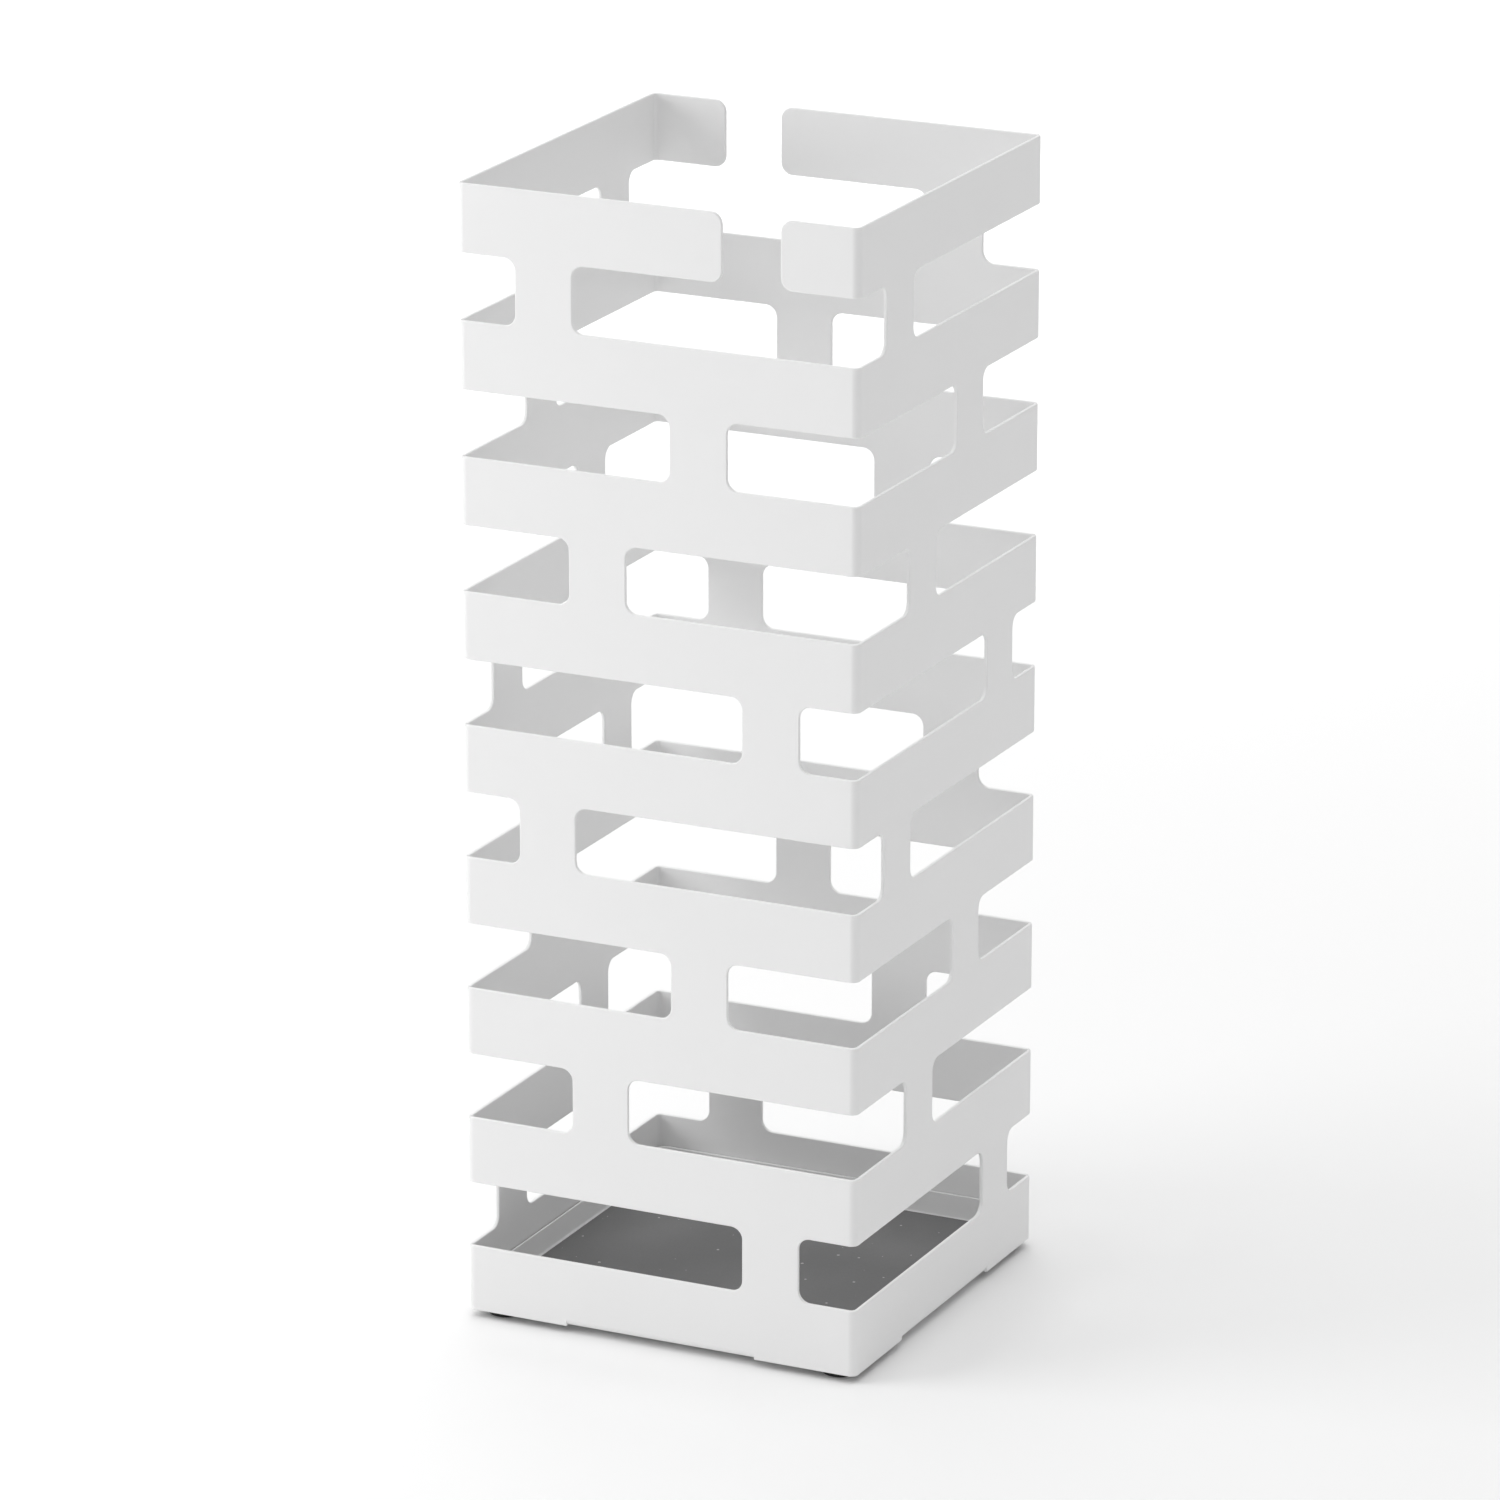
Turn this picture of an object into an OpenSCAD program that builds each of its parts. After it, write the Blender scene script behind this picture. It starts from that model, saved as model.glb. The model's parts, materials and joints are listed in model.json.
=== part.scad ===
// Umbrella stand: a square tube of white coated steel sheet, cut in a running-brick pattern.
// Frame: millimetres, +Z up, origin on the floor under the centre of the tube. The slotted front wall faces -Y.

/* [Body] */
// Outer side of the square tube
body_side = 165; // [140:1:220]
// Overall height, from the undersides of the feet to the top edge
overall_height = 450; // [400:5:560]
// Thickness of the coated sheet
sheet = 1.6; // [1.0:0.1:1.8]
// Outer radius of the bends and of the ground corner seams
bend_r = 3.2; // [2.2:0.1:4]

/* [Brick pattern] */
// Number of bands that run round the tube
band_count = 9; // [6:1:10]
// Height of one band
band_height = 26.6; // [20:0.1:28]
// Width of the posts that join one band to the next
post_width = 23.6; // [16:0.1:28]
// Centre of the post in gap rows 1, 5 and 9, in percent of the wall from its left edge seen from outside
post_row_1 = 21.8; // [16:0.1:84]
// Centre of the post in gap rows 2 and 6
post_row_2 = 60.3; // [16:0.1:84]
// Centre of the post in gap rows 3 and 7
post_row_3 = 34.9; // [16:0.1:84]
// Centre of the post in gap rows 4 and 8
post_row_4 = 78.3; // [16:0.1:84]
// Radius of the openings' corners
opening_r = 4.7; // [2:0.1:5]
// Width of the slot through the top band, on the front and the back
slot_width = 23.8; // [16:0.1:30]
// Centre of that slot, in percent of the wall from its left edge
slot_place = 73.5; // [40:0.1:80]

/* [Base] */
// Width of the tab that is folded inward under each wall
tab_width = 80; // [40:1:84]
// Reach of the tab, from the wall's outer face
tab_reach = 14; // [8:1:20]
// Thickness of the base plate that lies on the four tabs
plate_thickness = 1.0; // [0.8:0.1:2]
// Gap between the base plate and the walls
plate_gap = 0.9; // [0.8:0.1:2]
// Leg of the weld beads
bead_leg = 1.3; // [0.8:0.1:1.4]
// Length of each bead under the base plate
bead_length = 18; // [10:1:18]

/* [Drip tray] */
// Height of the tray
tray_height = 11; // [8:0.5:20]
// Thickness of the tray's sheet
tray_sheet = 0.8; // [0.6:0.1:1.2]
// Gap between the tray and the walls
tray_gap = 0.9; // [0.8:0.1:2]
// Outer radius of the tray's upright corners
tray_corner_r = 4; // [3:0.5:10]
// Thickness of the mat
mat_thickness = 0.8; // [0.6:0.1:3]
// Gap between the mat and the tray's wall
mat_gap = 1.5; // [1:0.1:4]

/* [Feet] */
// Diameter of a rubber foot
foot_diameter = 15; // [8:0.5:15.5]
// How far a foot stands out below the sheet
foot_stand = 3.0; // [1:0.1:4]
// Centre of a foot from the outer faces of both walls
foot_inset = 11.2; // [9.9:0.1:20]
// Radius of a foot's lower edge
foot_edge_r = 0.8; // [0.4:0.1:1.2]

/* [Hidden] */
$fn = 48;

half_side = body_side / 2;
body_height = overall_height - foot_stand;
gap_rows = band_count - 1;
gap_height = (body_height - band_count * band_height) / gap_rows;
row_pitch = band_height + gap_height;
post_rows = [post_row_1, post_row_2, post_row_3, post_row_4];
inner_side = body_side - 2 * sheet;
plate_side = inner_side - 2 * plate_gap;
tray_side = inner_side - 2 * tray_gap;
mat_side = tray_side - 2 * tray_sheet - 2 * mat_gap;
// Running clearance under the two pieces that lift out
lift_gap = 0.1;
plate_z = foot_stand + sheet;
tray_z = plate_z + plate_thickness + lift_gap;
mat_z = tray_z + tray_sheet + lift_gap;
// Overlap that keeps cutting tools clear of the faces they cut through
over = 1;

// A square of the given side about the origin, with round corners
module rounded_square(side, r) {
    square([side, side - 2 * r], center = true);
    square([side - 2 * r, side], center = true);
    for (x = [-1, 1], y = [-1, 1])
        translate([x * (side / 2 - r), y * (side / 2 - r)]) circle(r);
}

// A rectangle between two corners, with round corners
module rounded_opening(left, bottom, right, top) {
    translate([left + opening_r, bottom])
        square([right - left - 2 * opening_r, top - bottom]);
    translate([left, bottom + opening_r])
        square([right - left, top - bottom - 2 * opening_r]);
    for (x = [left + opening_r, right - opening_r], y = [bottom + opening_r, top - opening_r])
        translate([x, y]) circle(opening_r);
}

// The two openings of one gap row on a wall. They run past the wall's edges, so they join up round the corners.
module row_openings(row) {
    bottom = body_height - row * row_pitch;
    post = body_side * post_rows[(row - 1) % 4] / 100;
    past = 2 * opening_r;
    rounded_opening(-past, bottom, post - post_width / 2, bottom + gap_height);
    rounded_opening(post + post_width / 2, bottom, body_side + past, bottom + gap_height);
}

// A square corner outside a quarter circle, which rounds off a corner of the sheet at the slot
module corner_cut(x, y) {
    translate([x < 0 ? 0 : -opening_r, y < 0 ? 0 : -opening_r]) difference() {
        square(opening_r);
        translate([x < 0 ? opening_r : 0, y < 0 ? opening_r : 0]) circle(opening_r);
    }
}

// The slot right through the top band, with the sheet's corners rounded beside it
module top_slot() {
    left = body_side * slot_place / 100 - slot_width / 2;
    right = left + slot_width;
    bottom = body_height - band_height;
    translate([left, bottom - over]) square([slot_width, band_height + 2 * over]);
    translate([left, body_height]) corner_cut(1, 1);
    translate([left, bottom]) corner_cut(1, -1);
    translate([right, body_height]) corner_cut(-1, 1);
    translate([right, bottom]) corner_cut(-1, -1);
}

// Everything cut from one wall, drawn with its left bottom corner at the origin
module wall_openings(slotted) {
    for (row = [1 : gap_rows]) row_openings(row);
    if (slotted) top_slot();
}

// Turns a drawing of the front wall into a tool that cuts through it
module through_front_wall() {
    depth = bend_r + 2 * over;
    translate([-half_side, depth - over - half_side, 0])
        rotate([90, 0, 0])
            linear_extrude(depth) children();
}

// Plan of the tube: bent at two corners, and square inside at the two welded ones
module tube_plan() {
    difference() {
        rounded_square(body_side, bend_r);
        rounded_square(inner_side, bend_r - sheet);
        for (s = [-1, 1])
            translate([s * inner_side / 4, s * inner_side / 4])
                square(inner_side / 2, center = true);
    }
}

// Half of that plan: the front and right walls, up to the diagonal between the welded corners
module half_plan() {
    difference() {
        tube_plan();
        polygon([[-body_side, -body_side], [body_side, body_side], [-body_side, body_side]]);
    }
}

// Section of the folded tab: a quarter bend and a flat flange
module tab_section() {
    difference() {
        intersection() {
            translate([bend_r, bend_r]) circle(bend_r);
            square(bend_r);
        }
        translate([bend_r, bend_r]) circle(bend_r - sheet);
    }
    translate([bend_r, 0]) square([tab_reach - bend_r, sheet]);
}

// The tab under the front wall
module front_tab() {
    translate([tab_width / 2, -half_side, 0])
        rotate([90, 0, -90])
            linear_extrude(tab_width) mirror([1, 0]) tab_section();
}

// One bent sheet: the slotted front wall, the bend, and the right wall
module bent_sheet() {
    translate([0, 0, foot_stand]) {
        difference() {
            linear_extrude(body_height) half_plan();
            through_front_wall() wall_openings(true);
            rotate([0, 0, 90]) through_front_wall() wall_openings(false);
            for (turn = [0, 90])
                rotate([0, 0, turn])
                    translate([-tab_width / 2, -half_side - over, -over])
                        cube([tab_width, sheet + 2 * over, bend_r + over]);
        }
        for (turn = [0, 90]) rotate([0, 0, turn]) front_tab();
    }
}

module front_right_sheet() {
    color("white") bent_sheet();
}

module back_left_sheet() {
    color("white") rotate([0, 0, 180]) bent_sheet();
}

// Inside bead along the back right seam, one length per band
module seam_welds() {
    corner = inner_side / 2;
    for (band = [1 : band_count])
        translate([corner, corner, foot_stand + (band - 1) * row_pitch + over])
            linear_extrude(band_height - 2 * over)
                polygon([[0, 0], [-bead_leg, 0], [0, -bead_leg]]);
}

module back_right_seam_welds() {
    color("gainsboro") seam_welds();
}

module front_left_seam_welds() {
    color("gainsboro") rotate([0, 0, 180]) seam_welds();
}

module base_plate() {
    color("white")
        translate([0, 0, plate_z])
            linear_extrude(plate_thickness) rounded_square(plate_side, 3);
}

// Two beads on the inner edge of each tab, which hold the base plate
module base_plate_welds() {
    color("gainsboro")
        for (turn = [0 : 90 : 270], side = [-1, 1])
            rotate([0, 0, turn])
                translate([side * tab_width / 4 + bead_length / 2, tab_reach - half_side, plate_z])
                    rotate([90, 0, -90])
                        linear_extrude(bead_length)
                            polygon([[0, 0], [-bead_leg, 0], [0, -bead_leg]]);
}

module drip_tray() {
    color("whitesmoke")
        translate([0, 0, tray_z])
            difference() {
                linear_extrude(tray_height) rounded_square(tray_side, tray_corner_r);
                translate([0, 0, tray_sheet])
                    linear_extrude(tray_height)
                        rounded_square(tray_side - 2 * tray_sheet, tray_corner_r - tray_sheet);
            }
}

module tray_mat() {
    color("dimgray")
        translate([0, 0, mat_z])
            linear_extrude(mat_thickness) rounded_square(mat_side, 1);
}

// A self-adhesive rubber foot, stuck to the underside of the base plate
module foot(x, y) {
    r = foot_diameter / 2;
    place = half_side - foot_inset;
    color("black")
        translate([x * place, y * place, 0])
            rotate_extrude() {
                square([r - foot_edge_r, plate_z]);
                translate([0, foot_edge_r]) square([r, plate_z - foot_edge_r]);
                intersection() {
                    translate([r - foot_edge_r, foot_edge_r]) circle(foot_edge_r);
                    square([r, plate_z]);
                }
            }
}

module foot_front_left() { foot(-1, -1); }
module foot_front_right() { foot(1, -1); }
module foot_back_right() { foot(1, 1); }
module foot_back_left() { foot(-1, 1); }

front_right_sheet();
back_left_sheet();
front_left_seam_welds();
back_right_seam_welds();
base_plate();
base_plate_welds();
drip_tray();
tray_mat();
foot_front_left();
foot_front_right();
foot_back_right();
foot_back_left();
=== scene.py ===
"""Umbrella stand of coated sheet steel: its looks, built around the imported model.

Lengths are in metres, in the model's own frame: +Z up, floor at 0, the slotted front wall at -Y.
"""
import json
import math

import bmesh
import bpy
from mathutils import Matrix, Vector


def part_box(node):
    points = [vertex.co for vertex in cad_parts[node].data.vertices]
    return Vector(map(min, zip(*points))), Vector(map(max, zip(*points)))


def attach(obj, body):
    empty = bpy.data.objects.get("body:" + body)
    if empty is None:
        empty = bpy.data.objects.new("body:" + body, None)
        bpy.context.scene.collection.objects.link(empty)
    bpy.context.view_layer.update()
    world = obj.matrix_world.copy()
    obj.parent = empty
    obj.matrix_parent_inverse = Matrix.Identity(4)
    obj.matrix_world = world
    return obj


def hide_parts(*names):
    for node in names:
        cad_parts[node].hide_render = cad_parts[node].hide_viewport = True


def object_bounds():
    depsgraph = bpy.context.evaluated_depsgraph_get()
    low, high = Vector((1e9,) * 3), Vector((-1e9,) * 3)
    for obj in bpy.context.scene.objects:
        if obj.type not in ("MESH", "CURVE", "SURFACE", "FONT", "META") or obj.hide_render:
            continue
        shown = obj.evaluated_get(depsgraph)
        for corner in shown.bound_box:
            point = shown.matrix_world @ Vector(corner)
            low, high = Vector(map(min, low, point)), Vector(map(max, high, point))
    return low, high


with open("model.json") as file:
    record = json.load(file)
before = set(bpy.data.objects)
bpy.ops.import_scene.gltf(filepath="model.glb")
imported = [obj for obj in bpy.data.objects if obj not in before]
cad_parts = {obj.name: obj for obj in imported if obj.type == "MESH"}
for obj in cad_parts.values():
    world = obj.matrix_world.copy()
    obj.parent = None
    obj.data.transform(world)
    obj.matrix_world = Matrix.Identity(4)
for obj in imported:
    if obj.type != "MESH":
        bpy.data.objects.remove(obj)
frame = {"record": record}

cad_low, cad_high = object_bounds()

MM = 0.001
QUARTER = math.pi / 2

# The sheet's pattern, as the stand is designed
SHEET = 1.6 * MM
BEND_R = 3.2 * MM
BANDS = 9
BAND_HEIGHT = 26.6 * MM
POST_WIDTH = 23.6 * MM
POST_PLACES = (0.218, 0.603, 0.349, 0.783)
OPENING_R = 4.7 * MM
SLOT_WIDTH = 23.8 * MM
SLOT_PLACE = 0.735
TAB_WIDTH = 80 * MM
TAB_REACH = 14 * MM
TAB_CORNER_R = 2 * MM
BEAD_LENGTH = 18 * MM

# The loose pieces and the feet
TRAY_WALL = 0.8 * MM
TRAY_CORNER_R = 4 * MM
TRAY_BEND_R = 1.8 * MM
PLATE_CORNER_R = 3 * MM
MAT_CORNER_R = 1 * MM
PLATE_EDGE_R = 0.3 * MM
FOOT_EDGE_R = 0.8 * MM
FOOT_TOP_R = 0.25 * MM
FOOT_TAPER = 0.15 * MM
FOOT_HOLLOW = 0.06 * MM

# The weld beads
RIPPLE_PITCH = 1.1 * MM
SLICES_PER_RIPPLE = 4
BEAD_END = 1.0 * MM
BEAD_END_SIZE = 0.35
BEAD_CROWN = 0.10
RIPPLE_CROWN = 0.05
BEAD_ARC_STEPS = 6

# Two points nearer than this count as one place
TOLERANCE = 0.01 * MM

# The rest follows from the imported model
sheet_low, sheet_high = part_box("front_right_sheet")
SIDE = 2 * sheet_high.x
HALF = SIDE / 2
SHEET_BOTTOM = sheet_low.z
SHEET_HEIGHT = sheet_high.z - sheet_low.z
ROW_PITCH = (SHEET_HEIGHT - BAND_HEIGHT) / (BANDS - 1)

# Fineness of the meshes
ARC_STEPS = 10
BEND_STEPS = 8
EDGE_R = 0.5 * MM
EDGE_STEPS = 3
FOOT_SIDES = 64


# ---------------------------------------------------------------- mesh helpers

def turned(vector, quarters):
    """The vector, turned by that many quarter turns about the stand's axis."""
    return Matrix.Rotation(quarters * QUARTER, 3, "Z") @ Vector(vector)


def arc(centre, radius, start, end, steps=ARC_STEPS):
    """Points along an arc in a plane, both ends included. Angles are in quarter turns."""
    points = []
    for step in range(steps + 1):
        angle = QUARTER * (start + (end - start) * step / steps)
        points.append((centre[0] + radius * math.cos(angle), centre[1] + radius * math.sin(angle)))
    return points


def make_object(name, mesh_builder, material):
    """An object from a bmesh, smooth shaded, with one material."""
    mesh = bpy.data.meshes.new(name)
    mesh_builder.to_mesh(mesh)
    mesh_builder.free()
    for polygon in mesh.polygons:
        polygon.use_smooth = True
    mesh.materials.append(material)
    piece = bpy.data.objects.new(name, mesh)
    bpy.context.scene.collection.objects.link(piece)
    return piece


def bake_normals(piece, sharp_angle=math.radians(50)):
    """Gives the piece normals that keep its large faces flat and its edges soft, as mesh data."""
    builder = bmesh.new()
    builder.from_mesh(piece.data)
    for edge in builder.edges:
        edge.smooth = len(edge.link_faces) == 2 and edge.calc_face_angle(0) < sharp_angle
    builder.to_mesh(piece.data)
    builder.free()
    weighted = piece.modifiers.new("weighted", "WEIGHTED_NORMAL")
    weighted.mode = "FACE_AREA"
    weighted.weight = 90
    weighted.keep_sharp = True
    graph = bpy.context.evaluated_depsgraph_get()
    finished = bpy.data.meshes.new_from_object(
        piece.evaluated_get(graph), preserve_all_data_layers=True, depsgraph=graph)
    piece.modifiers.clear()
    rough = piece.data
    piece.data = finished
    bpy.data.meshes.remove(rough)


def stand_in_for(piece, node):
    """The piece is shown in place of a CAD node, and moves with that node's body."""
    body = next(name for name, nodes in frame["record"]["behaviour"]["bodies"].items() if node in nodes)
    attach(piece, body)
    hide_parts(node)


# ---------------------------------------------------------------- the bent sheets

class Skin:
    """The outer skin of a bent sheet. Each corner point knows its partner on the sheet's inner side."""

    def __init__(self):
        self.builder = bmesh.new()
        self.partners = {}
        self.known = {}

    def corner(self, outer, inner):
        key = tuple(round(value / (0.1 * TOLERANCE)) for value in outer)
        if key not in self.known:
            vertex = self.builder.verts.new(outer)
            self.known[key] = vertex
            self.partners[vertex] = Vector(inner)
        return self.known[key]

    def face(self, corners):
        self.builder.faces.new(corners)

    def thicken(self):
        """Adds the inner side and the cut edges, and returns the edges that bound both sides."""
        outer_faces = list(self.builder.faces)
        outer_edges = [edge for edge in self.builder.edges if len(edge.link_faces) == 1]
        inner = {vertex: self.builder.verts.new(place) for vertex, place in self.partners.items()}
        for face in outer_faces:
            self.builder.faces.new([inner[vertex] for vertex in reversed(face.verts)])
        rim = []
        for edge in outer_edges:
            loop = edge.link_loops[0]
            first, second = loop.vert, loop.link_loop_next.vert
            self.builder.faces.new([second, first, inner[first], inner[second]])
            rim.append(edge)
            rim.append(self.builder.edges.get((inner[first], inner[second])))
        self.builder.normal_update()
        return rim


def band_bottom(band):
    """Height of a band's lower edge above the sheet's lower edge. Band 0 is the lowest."""
    return band * ROW_PITCH


def post_centre(gap):
    """Place of the post in a gap row, from the wall's left edge. Gap 0 is the lowest."""
    row_from_top = BANDS - 2 - gap
    return SIDE * POST_PLACES[row_from_top % len(POST_PLACES)]


def post_side(gap, direction):
    """Outline beside one gap row's post, from the band below to the band above, with two round corners."""
    edge = post_centre(gap) + direction * POST_WIDTH / 2
    low = band_bottom(gap) + BAND_HEIGHT
    high = band_bottom(gap + 1)
    centre = edge + direction * OPENING_R
    lower_start, lower_end, upper_start = (-1, -2, 2) if direction > 0 else (3, 4, 0)
    lower = arc((centre, low + OPENING_R), OPENING_R, lower_start, lower_end)
    return lower + arc((centre, high - OPENING_R), OPENING_R, upper_start, 1)


def lower_edge():
    """Outline along the wall's lower edge, left to right, up round the folded tab."""
    left = (SIDE - TAB_WIDTH) / 2
    right = left + TAB_WIDTH
    return [(BEND_R, 0), (left, 0), (left, BEND_R), (right, BEND_R), (right, 0), (SIDE - BEND_R, 0)]


def wall_outlines(slotted):
    """Outlines of a wall's flat faces, anticlockwise as seen from outside."""
    left, right = BEND_R, SIDE - BEND_R
    outline = lower_edge()
    for gap in range(BANDS - 1):
        outline.append((right, band_bottom(gap) + BAND_HEIGHT))
        outline += post_side(gap, 1)
        if gap < BANDS - 2 or not slotted:
            outline.append((right, band_bottom(gap + 1)))
    others = []
    if slotted:
        slot_left = SIDE * SLOT_PLACE - SLOT_WIDTH / 2
        slot_right = slot_left + SLOT_WIDTH
        low, high = band_bottom(BANDS - 1), SHEET_HEIGHT
        outline += arc((slot_left - OPENING_R, low + OPENING_R), OPENING_R, -1, 0)
        outline += arc((slot_left - OPENING_R, high - OPENING_R), OPENING_R, 0, 1)
        others.append(
            [(right, low), (right, high)]
            + arc((slot_right + OPENING_R, high - OPENING_R), OPENING_R, 1, 2)
            + arc((slot_right + OPENING_R, low + OPENING_R), OPENING_R, 2, 3))
    else:
        outline.append((right, SHEET_HEIGHT))
    outline.append((left, SHEET_HEIGHT))
    for gap in reversed(range(BANDS - 1)):
        outline.append((left, band_bottom(gap + 1)))
        outline += reversed(post_side(gap, -1))
        outline.append((left, band_bottom(gap) + BAND_HEIGHT))
    return [outline] + others


def wall_corner(skin, wall, across, up):
    """A corner point on a wall's flat face."""
    outer = Vector((across - HALF, -HALF, SHEET_BOTTOM + up))
    inner = outer + Vector((0, SHEET, 0))
    return skin.corner(turned(outer, wall), turned(inner, wall))


def bend_corner(skin, wall, share, up, welded):
    """A corner point in the bend at a wall's right end; share is 0 at that wall and 1 at the next one."""
    angle = QUARTER * (share - 1)
    facing = Vector((math.cos(angle), math.sin(angle), 0))
    centre = Vector((HALF - BEND_R, BEND_R - HALF, SHEET_BOTTOM + up))
    inner = centre + facing * (BEND_R - SHEET)
    if welded:
        along = (BEND_R - SHEET) * (1 - 2 * min(share, 1 - share))
        inner = centre + Vector((BEND_R - SHEET, SHEET - BEND_R, 0))
        inner += Vector((-along, 0, 0)) if share < 0.5 else Vector((0, along, 0))
    return skin.corner(turned(centre + facing * BEND_R, wall), turned(inner, wall))


def add_bend(skin, wall, start, end, welded):
    """The bands' curved faces in the bend at a wall's right end."""
    steps = round(BEND_STEPS * (end - start))
    for band in range(BANDS):
        low, high = band_bottom(band), band_bottom(band) + BAND_HEIGHT
        for step in range(steps):
            first = start + (end - start) * step / steps
            second = start + (end - start) * (step + 1) / steps
            skin.face([
                bend_corner(skin, wall, first, low, welded), bend_corner(skin, wall, second, low, welded),
                bend_corner(skin, wall, second, high, welded), bend_corner(skin, wall, first, high, welded)])


def tab_corner(skin, wall, across, angle, reach=0.0):
    """A corner point on the folded tab: in its bend, or that far along its flange."""
    facing = Vector((0, -math.cos(angle), -math.sin(angle)))
    centre = Vector((across - HALF, BEND_R - HALF + reach, SHEET_BOTTOM + BEND_R))
    return skin.corner(
        turned(centre + facing * BEND_R, wall), turned(centre + facing * (BEND_R - SHEET), wall))


def add_tab(skin, wall):
    """The tab folded inward under a wall: its bend and its flange with two round corners."""
    left = (SIDE - TAB_WIDTH) / 2
    right = left + TAB_WIDTH
    for step in range(BEND_STEPS):
        first, second = QUARTER * step / BEND_STEPS, QUARTER * (step + 1) / BEND_STEPS
        skin.face([
            tab_corner(skin, wall, left, second), tab_corner(skin, wall, right, second),
            tab_corner(skin, wall, right, first), tab_corner(skin, wall, left, first)])
    reach = TAB_REACH - BEND_R
    outline = [(left, 0), (left, reach - TAB_CORNER_R)]
    outline += arc((left + TAB_CORNER_R, reach - TAB_CORNER_R), TAB_CORNER_R, 2, 1)[1:]
    outline += arc((right - TAB_CORNER_R, reach - TAB_CORNER_R), TAB_CORNER_R, 1, 0)
    outline.append((right, 0))
    skin.face([tab_corner(skin, wall, across, QUARTER, along) for across, along in outline])


def bent_sheet(name, first_wall, material):
    """One bent sheet: a slotted wall, the bend, and the next wall, from weld seam to weld seam."""
    skin = Skin()
    for wall, slotted in ((first_wall, True), (first_wall + 1, False)):
        for outline in wall_outlines(slotted):
            skin.face([wall_corner(skin, wall, across, up) for across, up in outline])
        add_tab(skin, wall)
    add_bend(skin, first_wall - 1, 0.5, 1, True)
    add_bend(skin, first_wall, 0, 1, False)
    add_bend(skin, first_wall + 1, 0, 0.5, True)
    rim = skin.thicken()

    def in_seam(vertex):
        return abs(vertex.co.x - vertex.co.y) < TOLERANCE

    def at_tab_side(vertex, wall):
        """Whether the point lies in the plane of one side of the tab under that wall, low down."""
        low_down = vertex.co.z - SHEET_BOTTOM < BEND_R + TOLERANCE
        return low_down and abs(abs(turned(vertex.co, -wall).x) - TAB_WIDTH / 2) < TOLERANCE

    def stays_sharp(edge):
        """The seam's edges, and the short ones where a wall and its tab part."""
        beside_tab = any(
            all(at_tab_side(vertex, wall) for vertex in edge.verts) for wall in (first_wall, first_wall + 1))
        return beside_tab or all(in_seam(vertex) for vertex in edge.verts)

    soft = [edge for edge in rim if not stays_sharp(edge)]
    bmesh.ops.bevel(skin.builder, geom=soft, offset=EDGE_R, offset_type="OFFSET", segments=EDGE_STEPS,
                    profile=0.5, affect="EDGES", clamp_overlap=False)
    piece = make_object(name, skin.builder, material)
    bake_normals(piece)
    flatten_seam_normals(piece)
    return piece


def flatten_seam_normals(piece):
    """Turns the normals at the weld seams into the seam's plane, so that the coat runs on without a line."""
    across = Vector((1, -1, 0)).normalized()
    mesh = piece.data
    normals = [Vector(corner.vector) for corner in mesh.corner_normals]
    for polygon in mesh.polygons:
        if abs(polygon.normal.dot(across)) > 0.99:
            continue
        for loop in polygon.loop_indices:
            place = mesh.vertices[mesh.loops[loop].vertex_index].co
            if abs(place.dot(across)) < TOLERANCE / 2:
                normal = normals[loop]
                normals[loop] = (normal - across * normal.dot(across)).normalized()
    mesh.normals_split_custom_set(normals)


# ---------------------------------------------------------------- swept pieces

def square_ring(half, radius, steps):
    """Points round a square with round corners."""
    points = []
    for corner in range(4):
        centre = turned((half - radius, half - radius, 0), corner)
        points += arc((centre.x, centre.y), radius, corner, corner + 1, steps)
    return points


def join_loops(builder, loops):
    """Faces between each loop of corners and the next, with both ends closed. Returns the faces."""
    faces = []
    for lower, upper in zip(loops, loops[1:]):
        for index in range(len(lower)):
            following = (index + 1) % len(lower)
            faces.append(builder.faces.new([lower[index], lower[following], upper[following], upper[index]]))
    faces.append(builder.faces.new(list(reversed(loops[0]))))
    faces.append(builder.faces.new(loops[-1]))
    return faces


def lofted(name, loops, material):
    """A closed solid through a list of loops of points."""
    builder = bmesh.new()
    join_loops(builder, [[builder.verts.new(point) for point in loop] for loop in loops])
    piece = make_object(name, builder, material)
    bake_normals(piece)
    return piece


def stacked(name, rings, bottom, material):
    """A closed solid from a stack of rings, each one (half width, corner radius, height above bottom)."""
    loops = []
    for half, radius, height in rings:
        loops.append([(x, y, bottom + height) for x, y in square_ring(half, radius, ARC_STEPS)])
    return lofted(name, loops, material)


def rounded_plate(name, node, corner_r, edge_r, material):
    """A flat plate with soft edges that fills a CAD node's box."""
    low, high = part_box(node)
    half, thickness = high.x, high.z - low.z
    rings = []
    for x, y in arc((0, edge_r), edge_r, -1, 0, 4) + arc((0, thickness - edge_r), edge_r, 0, 1, 4):
        inset = edge_r - x
        rings.append((half - inset, corner_r - inset, y))
    return stacked(name, rings, low.z, material)


def tray(name, node, material):
    """The drip tray: a pan with a bent foot, upright walls and a rounded rim."""
    low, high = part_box(node)
    half, height = high.x, high.z - low.z
    rim_r = TRAY_WALL / 2
    bend_centre = (half - TRAY_BEND_R, TRAY_BEND_R)
    profile = arc(bend_centre, TRAY_BEND_R, -1, 0, 6)
    profile += arc((half - rim_r, height - rim_r), rim_r, 0, 2, 8)
    profile += arc(bend_centre, TRAY_BEND_R - TRAY_WALL, 0, -1, 6)
    rings = [(place, TRAY_CORNER_R - (half - place), up) for place, up in profile]
    return stacked(name, rings, low.z, material)


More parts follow.
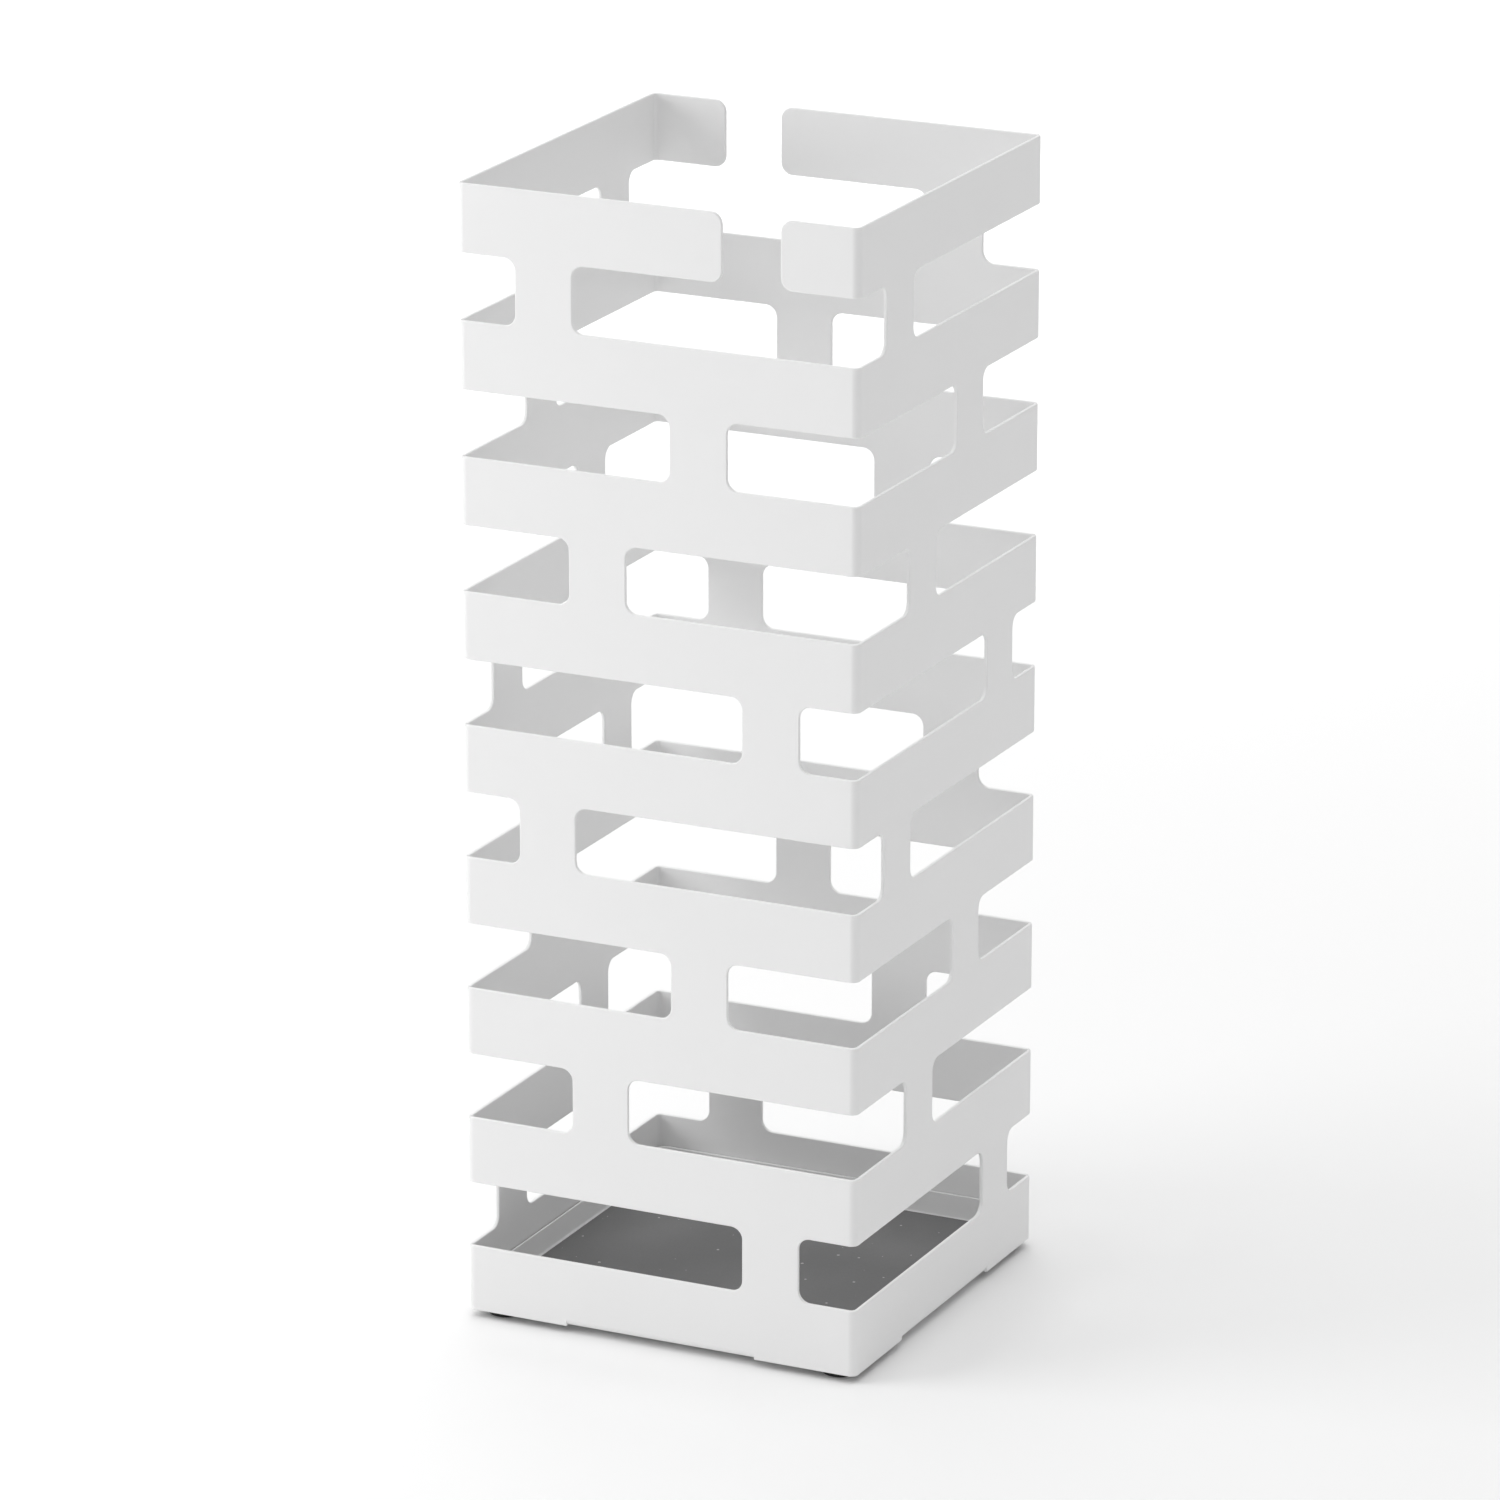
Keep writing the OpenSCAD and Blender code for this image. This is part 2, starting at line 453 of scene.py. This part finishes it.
def foot(name, node, material):
    """A turned rubber foot: a shallow hollow below, a round lower edge, a slight taper, a flat top."""
    low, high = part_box(node)
    centre = (low + high) / 2
    radius, height = (high.x - low.x) / 2, high.z - low.z
    profile = [(radius * 0.45, FOOT_HOLLOW), (radius * 0.5, 0)]
    profile += arc((radius - FOOT_TAPER - FOOT_EDGE_R, FOOT_EDGE_R), FOOT_EDGE_R, -1, 0, 6)
    profile += arc((radius - FOOT_TOP_R, height - FOOT_TOP_R), FOOT_TOP_R, 0, 1, 4)
    loops = []
    for reach, up in profile:
        circle = arc((centre.x, centre.y), reach, 0, 4, FOOT_SIDES)[:-1]
        loops.append([(x, y, low.z + up) for x, y in circle])
    return lofted(name, loops, material)


# ---------------------------------------------------------------- weld beads

def add_bead(builder, root, along, first_leg, second_leg):
    """One fillet bead in a corner: it runs from root by along, and its legs lie on the two sheets."""
    length = along.length
    count = round(length / RIPPLE_PITCH * SLICES_PER_RIPPLE)
    rings = []
    for index in range(count + 1):
        run = length * index / count
        from_end = min(run, length - run)
        swell = math.sqrt(max(0.0, 1 - (1 - min(1.0, from_end / BEAD_END)) ** 2))
        size = BEAD_END_SIZE + (1 - BEAD_END_SIZE) * swell
        phase = (index % SLICES_PER_RIPPLE) / SLICES_PER_RIPPLE
        crown = BEAD_CROWN + RIPPLE_CROWN * phase
        corner = root + along * (index / count)
        ring = [corner]
        for step in range(BEAD_ARC_STEPS + 1):
            share = step / BEAD_ARC_STEPS
            bulge = crown * math.sin(math.pi * share)
            ring.append(corner + (first_leg * (1 - share) + second_leg * share) * size
                        + (first_leg + second_leg) * bulge * size)
        rings.append([builder.verts.new(point) for point in ring])
    bmesh.ops.recalc_face_normals(builder, faces=join_loops(builder, rings))


def bead_group(name, places, material):
    """All the beads of one weld, as separate closed solids in one mesh."""
    builder = bmesh.new()
    for place in places:
        add_bead(builder, *place)
    piece = make_object(name, builder, material)
    bake_normals(piece, math.radians(70))
    return piece


def seam_beads(name, node, quarters, material):
    """The beads inside a welded corner, one per band."""
    low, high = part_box(node)
    leg = high.x - low.x
    margin = low.z - SHEET_BOTTOM
    corner = turned((HALF - SHEET, HALF - SHEET, 0), quarters)
    places = []
    for band in range(BANDS):
        root = Vector((corner.x, corner.y, SHEET_BOTTOM + band_bottom(band) + margin))
        places.append((root, Vector((0, 0, BAND_HEIGHT - 2 * margin)),
                       turned((-leg, 0, 0), quarters), turned((0, -leg, 0), quarters)))
    return bead_group(name, places, material)


def plate_beads(name, node, material):
    """The two beads on each tab's inner edge, under the base plate."""
    low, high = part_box(node)
    leg = high.z - low.z
    places = []
    for wall in range(4):
        for side in (-1, 1):
            root = turned((side * TAB_WIDTH / 4 - BEAD_LENGTH / 2, TAB_REACH - HALF, 0), wall)
            root.z = high.z
            run = turned((BEAD_LENGTH, 0, 0), wall)
            places.append((root, run, turned((0, leg, 0), wall), Vector((0, 0, -leg))))
    return bead_group(name, places, material)


# ---------------------------------------------------------------- materials

class Shader:
    """A node material with short ways to add the nodes used here."""

    def __init__(self, name):
        self.material = bpy.data.materials.new(name)
        self.material.use_nodes = True
        self.tree = self.material.node_tree
        self.surface = self.tree.nodes["Principled BSDF"]
        self.coordinates = self.tree.nodes.new("ShaderNodeTexCoord").outputs["Object"]

    def link(self, source, target):
        self.tree.links.new(source, target)

    def noise(self, size, detail=2.0, roughness=0.5):
        """Noise whose features are about that long, in metres."""
        node = self.tree.nodes.new("ShaderNodeTexNoise")
        node.inputs["Scale"].default_value = 1 / size
        node.inputs["Detail"].default_value = detail
        node.inputs["Roughness"].default_value = roughness
        self.link(self.coordinates, node.inputs["Vector"])
        return node.outputs["Fac"]

    def ramp(self, source, stops):
        """Maps a value to colours; stops is a list of (place, colour)."""
        node = self.tree.nodes.new("ShaderNodeValToRGB")
        elements = node.color_ramp.elements
        while len(elements) < len(stops):
            elements.new(0.5)
        for element, (place, colour) in zip(elements, stops):
            element.position = place
            element.color = (*colour, 1)
        self.link(source, node.inputs["Fac"])
        return node.outputs["Color"]

    def span(self, source, low, high):
        """Maps a value from 0..1 to low..high."""
        node = self.tree.nodes.new("ShaderNodeMapRange")
        node.inputs["To Min"].default_value = low
        node.inputs["To Max"].default_value = high
        self.link(source, node.inputs["Value"])
        return node.outputs["Result"]

    def combine(self, first, second, operation, share=None):
        node = self.tree.nodes.new("ShaderNodeMath")
        node.operation = operation
        self.link(first, node.inputs[0])
        if second is not None:
            self.link(second, node.inputs[1])
        if share is not None:
            node.inputs[1 if second is None else 2].default_value = share
        return node.outputs["Value"]

    def specks(self, spacing, radius):
        """1 inside sparse small dots of uneven size on a level face, 0 elsewhere."""
        cells = self.tree.nodes.new("ShaderNodeTexVoronoi")
        cells.voronoi_dimensions = "2D"
        cells.inputs["Scale"].default_value = 1 / spacing
        self.link(self.coordinates, cells.inputs["Vector"])
        size = self.tree.nodes.new("ShaderNodeSeparateColor")
        self.link(cells.outputs["Color"], size.inputs["Color"])
        reach = self.span(size.outputs["Red"], -2 * radius / spacing, radius / spacing)
        return self.combine(cells.outputs["Distance"], reach, "LESS_THAN")

    def mix(self, share, first, second):
        """Mixes two colours; each one is a colour or a socket."""
        node = self.tree.nodes.new("ShaderNodeMix")
        node.data_type = "RGBA"
        self.link(share, node.inputs["Factor"])
        for socket, value in ((node.inputs[6], first), (node.inputs[7], second)):
            if isinstance(value, tuple):
                socket.default_value = (*value, 1)
            else:
                self.link(value, socket)
        return node.outputs[2]

    def bump(self, height, depth, strength, under=None):
        """Adds relief that is depth metres deep where height goes from 0 to 1."""
        node = self.tree.nodes.new("ShaderNodeBump")
        node.inputs["Distance"].default_value = depth
        node.inputs["Strength"].default_value = strength
        self.link(height, node.inputs["Height"])
        if under is not None:
            self.link(under, node.inputs["Normal"])
        return node.outputs["Normal"]


def powder_coat(name, tone, waviness):
    """White satin powder coat: an even tone, a faint orange peel and a fine grain."""
    shader = Shader(name)
    surface = shader.surface
    cloud = shader.noise(70 * MM, 3)
    shader.link(shader.ramp(cloud, [
        (0.25, tuple(value * 0.985 for value in tone)), (0.75, tone)]), surface.inputs["Base Color"])
    mottle = shader.noise(5 * MM, 4, 0.6)
    shader.link(shader.span(mottle, 0.40, 0.52), surface.inputs["Roughness"])
    peel = shader.bump(shader.noise(1.6 * MM, 1), 0.012 * MM, waviness)
    grain = shader.bump(shader.noise(0.25 * MM, 2), 0.003 * MM, waviness, peel)
    shader.link(grain, surface.inputs["Normal"])
    surface.inputs["Specular IOR Level"].default_value = 0.45
    return shader.material


def foam_sheet(name):
    """Dark grey dense foam: matt, finely pored, with a few pale specks of dust."""
    shader = Shader(name)
    surface = shader.surface
    cloud = shader.noise(45 * MM, 4)
    base = shader.ramp(cloud, [(0.3, (0.19, 0.19, 0.191)), (0.7, (0.215, 0.215, 0.216))])
    grain = shader.noise(0.6 * MM, 3, 0.7)
    grained = shader.mix(shader.span(grain, 0.0, 0.5), base, (0.14, 0.14, 0.141))
    dusty = shader.mix(shader.specks(9 * MM, 0.6 * MM), grained, (0.5, 0.5, 0.49))
    shader.link(dusty, surface.inputs["Base Color"])
    shader.link(shader.span(grain, 0.72, 0.9), surface.inputs["Roughness"])
    pores = shader.bump(grain, 0.05 * MM, 0.5)
    shader.link(pores, surface.inputs["Normal"])
    surface.inputs["Specular IOR Level"].default_value = 0.3
    return shader.material


def black_rubber(name):
    """Black matt rubber with a fine moulded grain."""
    shader = Shader(name)
    surface = shader.surface
    cloud = shader.noise(4 * MM, 3)
    shader.link(shader.ramp(cloud, [
        (0.3, (0.016, 0.016, 0.017)), (0.7, (0.026, 0.026, 0.027))]), surface.inputs["Base Color"])
    grain = shader.noise(0.35 * MM, 3, 0.6)
    shader.link(shader.span(grain, 0.55, 0.75), surface.inputs["Roughness"])
    shader.link(shader.bump(grain, 0.03 * MM, 0.4), surface.inputs["Normal"])
    surface.inputs["Specular IOR Level"].default_value = 0.35
    return shader.material


def pale_floor(name):
    """A plain pale floor with a barely uneven tone."""
    shader = Shader(name)
    surface = shader.surface
    cloud = shader.noise(0.8, 2)
    shader.link(shader.ramp(cloud, [
        (0.3, (0.94, 0.94, 0.94)), (0.7, (0.96, 0.96, 0.96))]), surface.inputs["Base Color"])
    surface.inputs["Roughness"].default_value = 0.9
    surface.inputs["Specular IOR Level"].default_value = 0.1
    return shader.material


# ---------------------------------------------------------------- the pieces

body_coat = powder_coat("body_coat", (0.88, 0.88, 0.88), 0.5)
tray_coat = powder_coat("tray_coat", (0.88, 0.88, 0.88), 0.4)
mat_foam = foam_sheet("mat_foam")
foot_rubber = black_rubber("foot_rubber")

stand_in_for(bent_sheet("front_right_sheet_skin", 0, body_coat), "front_right_sheet")
stand_in_for(bent_sheet("back_left_sheet_skin", 2, body_coat), "back_left_sheet")
stand_in_for(
    seam_beads("front_left_seam_beads", "front_left_seam_welds", 2, body_coat),
    "front_left_seam_welds")
stand_in_for(
    seam_beads("back_right_seam_beads", "back_right_seam_welds", 0, body_coat),
    "back_right_seam_welds")
stand_in_for(
    rounded_plate("base_plate_sheet", "base_plate", PLATE_CORNER_R, PLATE_EDGE_R, body_coat),
    "base_plate")
stand_in_for(plate_beads("base_plate_beads", "base_plate_welds", body_coat), "base_plate_welds")
stand_in_for(tray("drip_tray_pan", "drip_tray", tray_coat), "drip_tray")
stand_in_for(
    rounded_plate("tray_mat_foam", "tray_mat", MAT_CORNER_R, PLATE_EDGE_R, mat_foam), "tray_mat")
for corner in ("front_left", "front_right", "back_right", "back_left"):
    node = f"foot_{corner}"
    stand_in_for(foot(f"rubber_{node}", node, foot_rubber), node)


# ---------------------------------------------------------------- studio

def add_floor():
    """A wide round floor at height 0."""
    builder = bmesh.new()
    bmesh.ops.create_circle(builder, cap_ends=True, radius=20, segments=96)
    floor = make_object("floor", builder, pale_floor("floor_white"))


def add_softbox(name, place, target, size, power):
    """A square area light that faces a point."""
    light = bpy.data.lights.new(name, "AREA")
    light.shape = "SQUARE"
    light.size = size
    light.energy = power
    lamp = bpy.data.objects.new(name, light)
    lamp.location = place
    lamp.rotation_euler = (Vector(target) - Vector(place)).to_track_quat("-Z", "Y").to_euler()
    bpy.context.scene.collection.objects.link(lamp)


def add_sky(dim, overhead, horizon):
    """Soft light from all round: bright overhead and low down behind the stand, dim elsewhere."""
    world = bpy.data.worlds.new("studio")
    world.use_nodes = True
    nodes, links = world.node_tree.nodes, world.node_tree.links
    direction = nodes.new("ShaderNodeTexCoord").outputs["Generated"]

    def share(towards, start, end):
        """0 to 1 as the direction turns towards a vector, between two cosines."""
        dot = nodes.new("ShaderNodeVectorMath")
        dot.operation = "DOT_PRODUCT"
        dot.inputs[1].default_value = towards
        links.new(direction, dot.inputs[0])
        span = nodes.new("ShaderNodeMapRange")
        span.interpolation_type = "SMOOTHSTEP"
        span.inputs["From Min"].default_value = start
        span.inputs["From Max"].default_value = end
        links.new(dot.outputs["Value"], span.inputs["Value"])
        return span.outputs["Result"]

    def combine(operation, first, second):
        node = nodes.new("ShaderNodeMath")
        node.operation = operation
        for socket, value in zip(node.inputs, (first, second)):
            if isinstance(value, float):
                socket.default_value = value
            else:
                links.new(value, socket)
        return node.outputs["Value"]

    upper = combine("MULTIPLY", share((0, 0, 1), 0.75, 0.97), overhead)
    behind = share((-0.7071, 0.7071, 0), -0.3, 0.6)
    low_down = combine("MULTIPLY", share((0, 0, -1), -0.40, -0.05), behind)
    lower = combine("MULTIPLY", low_down, horizon)
    strength = combine("ADD", combine("ADD", upper, lower), dim)
    background = nodes["Background"]
    background.inputs["Color"].default_value = (1, 1, 1, 1)
    links.new(strength, background.inputs["Strength"])
    bpy.context.scene.world = world


def add_camera(place, azimuth, elevation, lens):
    """The camera, held upright.

    Azimuth 0 looks along +Y, and a larger one turns the view anticlockwise as seen from above.
    Elevation is how far the camera looks down.
    """
    camera = bpy.data.cameras.new("camera")
    camera.lens = lens
    camera.clip_end = 100
    holder = bpy.data.objects.new("camera", camera)
    holder.location = place
    holder.rotation_euler = (math.radians(90 - elevation), 0, math.radians(azimuth))
    bpy.context.scene.collection.objects.link(holder)
    bpy.context.scene.camera = holder


middle = (cad_low + cad_high) / 2
add_floor()
add_sky(dim=0.47, overhead=1.35, horizon=0.22)
add_softbox("key", (-0.92, -0.64, 0.66), middle, 0.7, 5.4)
add_softbox("backdrop", (-1.0, 1.9, 1.3), (-1.0, 1.9, 0), 1.4, 13)
add_camera(place=(1.292, -2.692, 1.164), azimuth=25.66, elevation=17.59, lens=196.2)
bpy.context.scene.view_settings.view_transform = "Standard"
